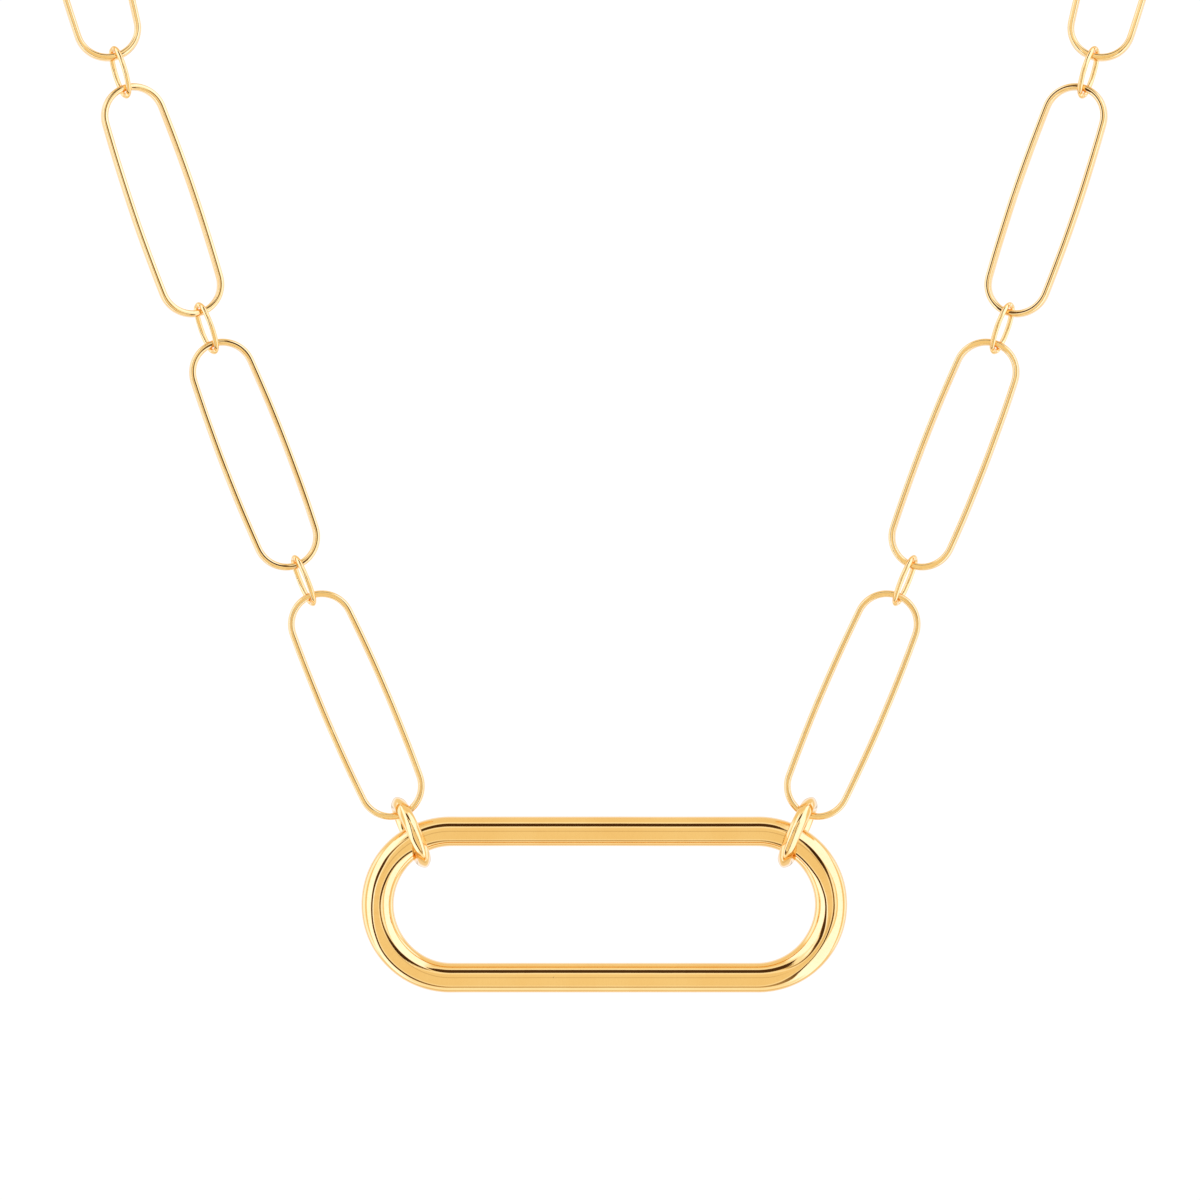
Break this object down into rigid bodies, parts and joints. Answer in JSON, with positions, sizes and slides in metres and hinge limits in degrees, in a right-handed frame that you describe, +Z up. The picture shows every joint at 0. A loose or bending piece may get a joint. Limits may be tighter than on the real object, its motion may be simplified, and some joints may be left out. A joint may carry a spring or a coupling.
{
  "type": "paperclip chain necklace",
  "caption": "Gold-tone necklace of slim long oval links joined by small upright connectors, with a thick polished horizontal oval link hung from heavy rings at the front.",
  "frame": {"origin": "where the inner side of the clasp rests on the back of the neck, at the top of the hanging loop", "axes": "+X across the wearer to the right of a viewer in front, -Y towards the front, +Z up"},
  "size_m": [0.117, 0.0932, 0.1619],
  "materials": {
    "gold_metal": "polished"
  },
  "bodies": {
    "root": {"centre_link": "gold_metal", "heavy_ring_left": "gold_metal", "heavy_ring_right": "gold_metal", "long_link_left_1": "gold_metal", "long_link_left_2": "gold_metal", "long_link_left_3": "gold_metal", "long_link_left_4": "gold_metal", "long_link_left_5": "gold_metal", "long_link_left_6": "gold_metal", "long_link_left_7": "gold_metal", "long_link_left_8": "gold_metal", "long_link_left_9": "gold_metal", "long_link_right_1": "gold_metal", "long_link_right_2": "gold_metal", "long_link_right_3": "gold_metal", "long_link_right_4": "gold_metal", "long_link_right_5": "gold_metal", "long_link_right_6": "gold_metal", "long_link_right_7": "gold_metal", "long_link_right_8": "gold_metal", "long_link_right_9": "gold_metal", "connector_left_1": "gold_metal", "connector_left_2": "gold_metal", "connector_left_3": "gold_metal", "connector_left_4": "gold_metal", "connector_left_5": "gold_metal", "connector_left_6": "gold_metal", "connector_left_7": "gold_metal", "connector_left_8": "gold_metal", "connector_left_9": "gold_metal", "connector_right_1": "gold_metal", "connector_right_2": "gold_metal", "connector_right_3": "gold_metal", "connector_right_4": "gold_metal", "connector_right_5": "gold_metal", "connector_right_6": "gold_metal", "connector_right_7": "gold_metal", "connector_right_8": "gold_metal", "connector_right_9": "gold_metal", "clasp": "gold_metal"}
  },
  "joints": []
}
